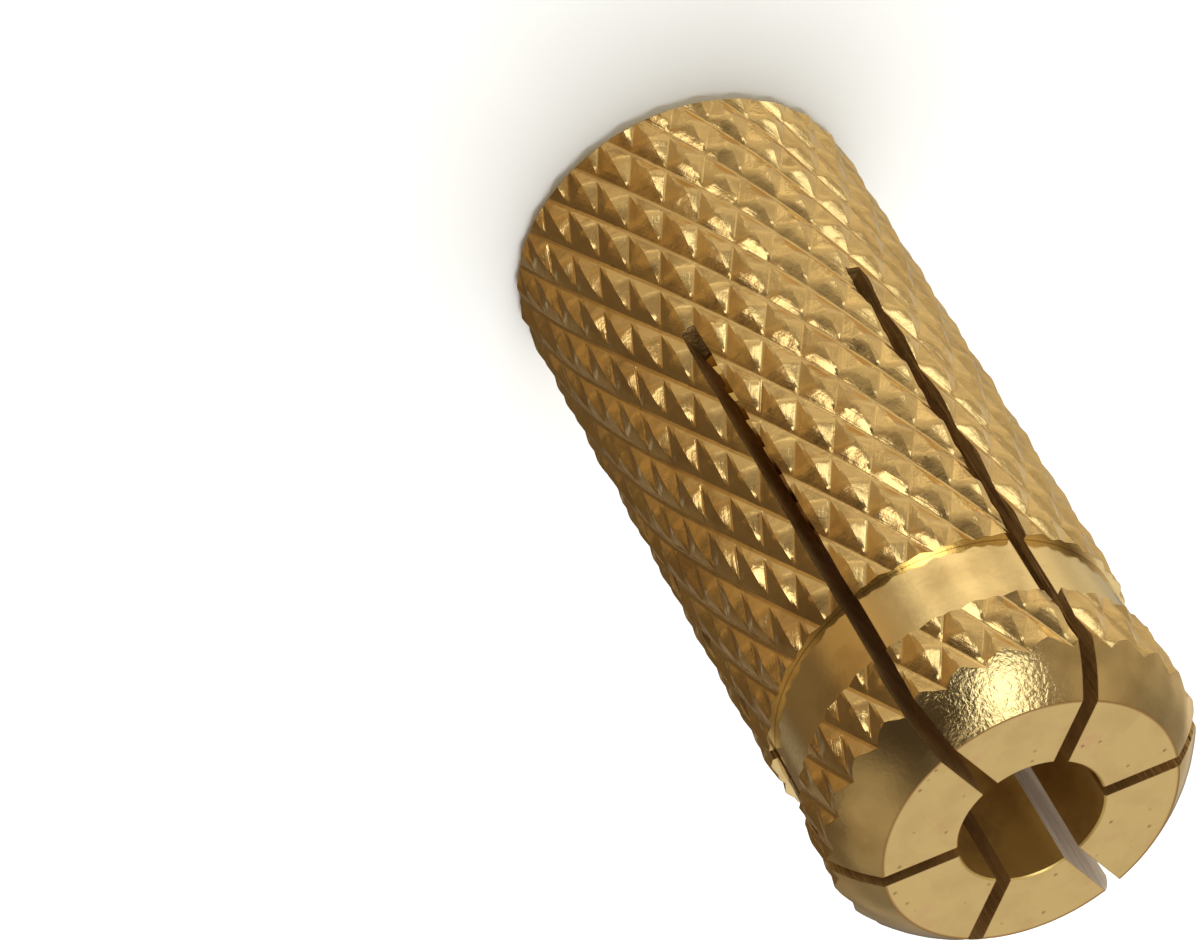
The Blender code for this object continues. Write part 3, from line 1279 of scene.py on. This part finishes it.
@dataclass(frozen=True)
class BoredFinish(BrassFinish):
    """The inside: tan thread crests, dark roots and darker metal deep inside, away from both openings."""

    work: Work = Work.BORED
    tone: Colour = (0.90, 0.63, 0.21)
    stain: Colour = (0.50, 0.265, 0.07)
    roughness: float = 0.34
    bareness: float = 0.85
    crest_radius: float = 5.053 * MM
    root_radius: float = 6.0 * MM
    root_share: float = 0.8
    # Heights over which the bore darkens from the mouth inwards and lightens again towards the nose.
    deep_darkening_rise: tuple[float, float] = (3.0 * MM, 10.0 * MM)
    deep_darkening_fall: tuple[float, float] = (28.0 * MM, 20.0 * MM)
    tarnish: Clouding = Clouding(500.0, 0.4, 0.7)
    tarnish_share: float = 0.5
    ring_height: float = 0.004 * MM

    def dress(self, sheet: NodeSheet, place: bpy.types.NodeSocket, shader: object) -> None:
        """Adds dark thread roots, darker metal deep inside, rings and tarnish.

        Args:
            sheet: The material's nodes.
            place: Object coordinates.
            shader: Inputs of the shader.
        """
        radius, height = sheet.radius_and_height(place)
        root = sheet.ease(radius, self.crest_radius, self.root_radius)
        # Darker deep inside the bore, fading out towards the mouth and towards the nose.
        above_mouth = sheet.ease(height, *self.deep_darkening_rise)
        deep_darkening = sheet.calc("MULTIPLY", above_mouth, sheet.ease(height, *self.deep_darkening_fall))
        root = sheet.calc("MAXIMUM", sheet.calc("MULTIPLY", root, self.root_share), deep_darkening)
        tarnish = sheet.calc("MULTIPLY", self.tarnish.over(sheet, place), self.tarnish_share)
        stain = sheet.calc("MAXIMUM", root, tarnish)
        sheet.feed(shader["Base Color"], self.stained(sheet, stain))
        ring = TurningMarks.place(sheet, place, Across=5000.0, Around=300.0)["Ring"]
        sheet.feed(shader["Normal"], sheet.bump(ring, self.ring_height))


@dataclass(frozen=True)
class SawnFinish(BrassFinish):
    """The walls of the saw cuts: matt and brown, with slanting saw marks and bright burrs, bare metal with
    a painted highlight along the edges.

    One half of one cut is painted paler and less metallic near the nose: painted light where the overhead
    lamp falls on that wall.
    """

    work: Work = Work.SAWN
    tone: Colour = (0.88, 0.60, 0.26)
    stain: Colour = (0.46, 0.29, 0.1)
    roughness: float = 0.42
    bareness: float = 0.85
    # Paler colour painted on the one wall that the overhead lamp lights: painted light.
    painted_lit_wall: Colour = (0.86, 0.78, 0.72)
    painted_lit_turn: float = math.radians(106.0)
    painted_lit_from: float = 2.3 * MM
    painted_lit_height: float = 22.0 * MM
    painted_lit_blend: float = 3.0 * MM
    painted_lit_bareness: float = 0.35
    painted_lit_least: float = 0.65
    saw_marks: Clouding = Clouding(3600.0, 0.35, 0.65)
    mark_height: float = 0.04 * MM
    mark_turn: float = math.radians(35.0)
    mark_stretch: float = 0.06
    tarnish: Clouding = Clouding(600.0, 0.35, 0.65)
    tarnish_share: float = 0.5
    tarnish_least: float = 0.35
    # Edge mask for the bare burrs and the painted highlight along the cut edges.
    edge: EdgeWear = EdgeWear(0.05 * MM, 8.0)

    def dress(self, sheet: NodeSheet, place: bpy.types.NodeSocket, shader: object) -> None:
        """Adds saw marks, tarnish, bright edges with a painted highlight, and the painted light on one
        wall.

        Args:
            sheet: The material's nodes.
            place: Object coordinates.
            shader: Inputs of the shader.
        """
        stretch = (1.0, 1.0, self.mark_stretch)
        feeds = {"Vector": place, "Rotation": (0.0, self.mark_turn, 0.0), "Scale": stretch}
        slant = sheet.add("ShaderNodeMapping", feeds).outputs[0]
        marks = self.saw_marks.over(sheet, slant)
        clouds = self.tarnish.over(sheet, place)
        brown = sheet.calc("MULTIPLY_ADD", clouds, self.tarnish_share, self.tarnish_least)
        # The edges keep the clean tone: partly bare burrs, partly a painted highlight where small bevels
        # would catch the light.
        edge = self.edge.over(sheet, place)
        stain = sheet.calc("MULTIPLY", brown, sheet.calc("SUBTRACT", 1.0, edge))
        # Painted light: the one wall that the overhead lamp lights is painted paler and less metallic.
        painted_lit_wall = sheet.calc("MULTIPLY", self.painted_lit_part(sheet, place), self.painted_lit_marks(sheet, marks))
        colour = sheet.mix_colour(painted_lit_wall, self.stained(sheet, stain), (*self.painted_lit_wall, 1.0))
        sheet.feed(shader["Base Color"], colour)
        bare = sheet.mix_value(painted_lit_wall, self.bareness, self.painted_lit_bareness)
        sheet.feed(shader["Metallic"], bare)
        sheet.feed(shader["Normal"], sheet.bump(marks, self.mark_height))

    def painted_lit_marks(self, sheet: NodeSheet, marks: bpy.types.NodeSocket) -> bpy.types.NodeSocket:
        """Finds how pale the painted light on that wall is, on and between the saw marks."""
        return sheet.calc("MULTIPLY_ADD", marks, 1 - self.painted_lit_least, self.painted_lit_least)

    def painted_lit_part(self, sheet: NodeSheet, place: bpy.types.NodeSocket) -> bpy.types.NodeSocket:
        """Finds the half of the cut near the nose that is painted paler, as painted light.

        Args:
            sheet: The material's nodes.
            place: Object coordinates.

        Returns:
            One on the wall painted as lit and nought elsewhere.
        """
        feeds = {"Vector": place, "Angle": -self.painted_lit_turn}
        turned = sheet.add("ShaderNodeVectorRotate", feeds, rotation_type="Z_AXIS").outputs[0]
        out, aside, height = sheet.add("ShaderNodeSeparateXYZ", {0: turned}).outputs
        out = sheet.calc("SUBTRACT", out, sheet.calc("ABSOLUTE", aside))
        in_cut = sheet.ease(out, 0.9 * self.painted_lit_from, 1.2 * self.painted_lit_from)
        near_nose = sheet.ease(height, self.painted_lit_height, self.painted_lit_height + self.painted_lit_blend)
        return sheet.calc("MULTIPLY", in_cut, near_nose)


@dataclass
class ExpansionAnchor:
    """The whole anchor, made in the order of the workshop."""

    sizes: AnchorSizes
    pattern: KnurlPattern = KnurlPattern()
    sharp_edge: float = math.radians(14.0)
    first_cut_turn: float = math.radians(286.0)
    second_cut_step: float = math.radians(-56.5)
    third_cut_step: float = math.radians(-60.2)
    cut_widths: tuple[float, float, float] = (0.68 * MM, 0.64 * MM, 0.52 * MM)
    end_reach: float = 0.01 * MM
    finishes: dict[Work, bpy.types.Material] = field(default_factory=dict)

    def mix_finishes(self) -> None:
        """Makes the five finishes."""
        for finish in (KnurledFinish(), TurnedFinish(), FacedFinish(), BoredFinish(), SawnFinish()):
            self.finishes[finish.work] = finish.build()

    def machine(self) -> bpy.types.Object:
        """Knurls, turns, bores, threads and saws the metal.

        Returns:
            The finished piece.
        """
        body = KnurledBar(self.sizes, self.pattern).build()
        paint_faces(body, self.finishes[Work.KNURLED])
        outline = LatheOutline(self.sizes).build()
        paint_faces(outline, self.finishes[Work.TURNED])
        carve(body, outline, "INTERSECT")
        bore = BoltBore(self.sizes)
        drill = bore.build_bore()
        paint_faces(drill, self.finishes[Work.BORED])
        carve(body, drill, "DIFFERENCE")
        tap = bore.build_thread()
        paint_faces(tap, self.finishes[Work.BORED])
        carve(body, tap, "DIFFERENCE")
        second_turn = self.first_cut_turn + self.second_cut_step
        turns = (self.first_cut_turn, second_turn, second_turn + self.third_cut_step)
        for turn, width in zip(turns, self.cut_widths):
            saw = SawCut(self.sizes, turn, width).build()
            paint_faces(saw, self.finishes[Work.SAWN])
            carve(body, saw, "DIFFERENCE")
        self.face_ends(body)
        return body

    def face_ends(self, body: bpy.types.Object) -> None:
        """Gives the flat nose and mouth faces their satin finish.

        Args:
            body: The machined metal.
        """
        body.data.materials.append(self.finishes[Work.FACED])
        faced = len(body.data.materials) - 1
        turned = body.data.materials.find(Work.TURNED.value)
        for face in body.data.polygons:
            if face.material_index == turned and abs(face.normal.z) > math.cos(self.sharp_edge):
                at_end = min(face.center.z, self.sizes.length - face.center.z)
                if at_end < self.end_reach:
                    face.material_index = faced

    def build(self) -> bpy.types.Object:
        """Makes the anchor and puts it in the frame.

        Returns:
            The piece that stands for the node.
        """
        self.mix_finishes()
        body = self.machine()
        deselect_all()
        body.select_set(True)
        bpy.context.view_layer.objects.active = body
        bpy.ops.object.shade_smooth_by_angle(angle=self.sharp_edge)
        body.name = "machined_anchor"
        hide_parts(NODE)
        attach(body, "root")
        return body


WHITE: Colour = (1.0, 1.0, 0.9)
COOL: Colour = (0.9, 1.0, 1.0)
WARM: Colour = (1.1, 1.0, 0.75)
AMBER: Colour = (1.5, 1.0, 0.4)


@dataclass(frozen=True)
class SoftPatch:
    """A soft patch of light or shade in the surroundings, by where it is seen from the anchor.

    Args:
        name: What it stands for.
        azimuth: Degrees from +X towards +Y.
        elevation: Degrees above the horizon.
        half_width: Degrees to each side.
        half_height: Degrees up and down.
        strength: Light that it adds at its middle.
        tint: Colour of that light.
    """

    name: str
    azimuth: float
    elevation: float
    half_width: float
    half_height: float
    strength: float
    tint: Colour


@dataclass
class Studio:
    """Floor, soft light and camera."""

    floor_size: float = 3.0
    floor_tone: float = 0.86
    floor_roughness: float = 0.9
    backdrop: float = 0.93
    ambient: Colour = (0.06, 0.047, 0.035)
    unevenness: float = 0.42
    cloud_size: float = 4.5
    cloud_detail: float = 2.0
    edge_power: float = 4.0
    lamp_size: float = 0.5
    lamp_energy: float = 3.9
    lamp_place: tuple[float, float, float] = (0.05, 0.10, 0.6)
    patches: tuple[SoftPatch, ...] = (
        SoftPatch("key softbox", 245, 40, 15, 18, 3.0, COOL),
        SoftPatch("overhead sheet", 0, 86, 720, 26, 1.1, WHITE),
        SoftPatch("back sheet", 90, 40, 35, 25, 0.6, WHITE),
        SoftPatch("back wall", 100, 0, 60, 30, 0.25, WHITE),
        SoftPatch("right back card", 190, 25, 35, 25, 0.35, WARM),
        SoftPatch("left back card", 5, 25, 35, 20, 0.3, WARM),
        SoftPatch("front card", 210, -30, 70, 30, 0.6, WARM),
        SoftPatch("right window", 230, -5, 10, 8, 1.4, COOL),
        SoftPatch("left window", 290, 3, 9, 9, 2.6, WHITE),
        SoftPatch("front strip", 240, -40, 28, 4, 0.35, WARM),
        SoftPatch("left front card", 305, -30, 30, 25, 0.2, AMBER),
        SoftPatch("back low card", 125, -35, 25, 25, 0.35, WARM),
        SoftPatch("left wall", 10, -30, 70, 30, 0.06, AMBER),
        SoftPatch("grey strip", 35, -35, 11, 5, 0.25, COOL),
        SoftPatch("floor bounce", 0, -60, 720, 9, 0.12, AMBER),
    )
    camera_place: tuple[float, float, float] = (7.59 * MM, -164.68 * MM, 163.82 * MM)
    camera_turn_degrees: tuple[float, float, float] = (-42.96, -20.72, 159.19)
    lens_mm: float = 171.0
    sensor_mm: float = 36.0

    def lay_floor(self) -> None:
        """Lays the plain pale floor, which doesn't show in the metal's reflections."""
        deselect_all()
        bpy.ops.mesh.primitive_plane_add(size=self.floor_size)
        floor = bpy.context.object
        floor.name = "studio_floor"
        paper = bpy.data.materials.new("studio_paper")
        paper.use_nodes = True
        shader = paper.node_tree.nodes["Principled BSDF"]
        shader.inputs["Base Color"].default_value = (self.floor_tone,) * 3 + (1.0,)
        shader.inputs["Roughness"].default_value = self.floor_roughness
        shader.inputs["Specular IOR Level"].default_value = 0.0
        floor.data.materials.append(paper)
        floor.visible_glossy = False

    def light_surroundings(self) -> None:
        """Fills the surroundings with a dim light and the soft patches."""
        world = bpy.data.worlds.new("studio_surroundings")
        bpy.context.scene.world = world
        world.use_nodes = True
        world.node_tree.nodes.clear()
        sheet = NodeSheet(world.node_tree)
        direction = sheet.add("ShaderNodeTexCoord").outputs["Generated"]
        x, y, z = sheet.add("ShaderNodeSeparateXYZ", {0: direction}).outputs
        azimuth = sheet.calc("ARCTAN2", y, x)
        elevation = sheet.calc("ARCSINE", z)
        total = (0.0, 0.0, 0.0)
        for patch in self.patches:
            total = sheet.calc_vector("ADD", total, self.shine(sheet, patch, azimuth, elevation))
        feeds = {"Vector": direction, "Scale": self.cloud_size, "Detail": self.cloud_detail}
        clouds = sheet.add("ShaderNodeTexNoise", feeds, noise_dimensions="3D").outputs[0]
        shade = sheet.calc("MULTIPLY_ADD", clouds, 4 * self.unevenness, 1 - 2 * self.unevenness)
        dim = sheet.calc_vector("ADD", self.ambient, sheet.scaled(total, shade))
        lit = sheet.add("ShaderNodeBackground", {"Color": dim}).outputs[0]
        backdrop = (self.backdrop,) * 3 + (1.0,)
        plain = sheet.add("ShaderNodeBackground", {"Color": backdrop}).outputs[0]
        seen = sheet.add("ShaderNodeLightPath").outputs["Is Camera Ray"]
        choice = sheet.add("ShaderNodeMixShader", {0: seen, 1: lit, 2: plain}).outputs[0]
        sheet.add("ShaderNodeOutputWorld", {"Surface": choice})

    def shine(
        self,
        sheet: NodeSheet,
        patch: SoftPatch,
        azimuth: bpy.types.NodeSocket,
        elevation: bpy.types.NodeSocket,
    ) -> bpy.types.NodeSocket:
        """Adds the light of one patch, full in its middle and soft at its edge.

        Args:
            sheet: The nodes of the surroundings.
            patch: The patch.
            azimuth: Turn of the direction looked in.
            elevation: Rise of the direction looked in.

        Returns:
            The colour of its light in that direction.
        """
        off_turn = sheet.calc("SUBTRACT", azimuth, math.radians(patch.azimuth))
        off_turn = sheet.calc("WRAP", off_turn, math.pi, -math.pi)
        off_rise = sheet.calc("SUBTRACT", elevation, math.radians(patch.elevation))
        across = sheet.calc("DIVIDE", off_turn, math.radians(patch.half_width))
        along = sheet.calc("DIVIDE", off_rise, math.radians(patch.half_height))
        across = sheet.calc("POWER", sheet.calc("ABSOLUTE", across), self.edge_power)
        along = sheet.calc("POWER", sheet.calc("ABSOLUTE", along), self.edge_power)
        outside = sheet.calc("ADD", across, along)
        inside = sheet.calc("EXPONENT", sheet.calc("MULTIPLY", outside, -1.0))
        colour = tuple(patch.strength * part for part in patch.tint)
        light = sheet.scaled(colour, inside)
        light.node.label = patch.name
        return light

    def hang_lamp(self) -> None:
        """Hangs one large soft lamp over the floor."""
        lamp = bpy.data.lights.new("overhead_softbox", "AREA")
        lamp.shape = "DISK"
        lamp.size = self.lamp_size
        lamp.energy = self.lamp_energy
        item = bpy.data.objects.new("overhead_softbox", lamp)
        item.location = self.lamp_place
        item.rotation_euler = Vector(item.location).to_track_quat("Z", "Y").to_euler()
        item.visible_camera = False
        item.visible_glossy = False
        bpy.context.scene.collection.objects.link(item)

    def set_camera(self) -> None:
        """Sets the camera at the photograph's viewing angle."""
        data = bpy.data.cameras.new("camera")
        data.lens = self.lens_mm
        data.sensor_width = self.sensor_mm
        data.clip_start = MM
        camera = bpy.data.objects.new("camera", data)
        camera.location = self.camera_place
        camera.rotation_euler = Euler([math.radians(turn) for turn in self.camera_turn_degrees])
        bpy.context.scene.collection.objects.link(camera)
        bpy.context.scene.camera = camera

    def build(self) -> None:
        """Sets up the studio."""
        self.lay_floor()
        self.light_surroundings()
        self.hang_lamp()
        self.set_camera()
        bpy.context.scene.view_settings.view_transform = "Standard"


def main() -> None:
    """Builds the studio and the anchor."""
    logging.basicConfig(level=logging.INFO, format="%(name)s: %(message)s")
    Studio().build()
    anchor = ExpansionAnchor(AnchorSizes.from_frame()).build()
    anchor.data.calc_loop_triangles()
    log.info("%s: %d triangles", anchor.name, len(anchor.data.loop_triangles))


if __name__ == "__main__":
    main()
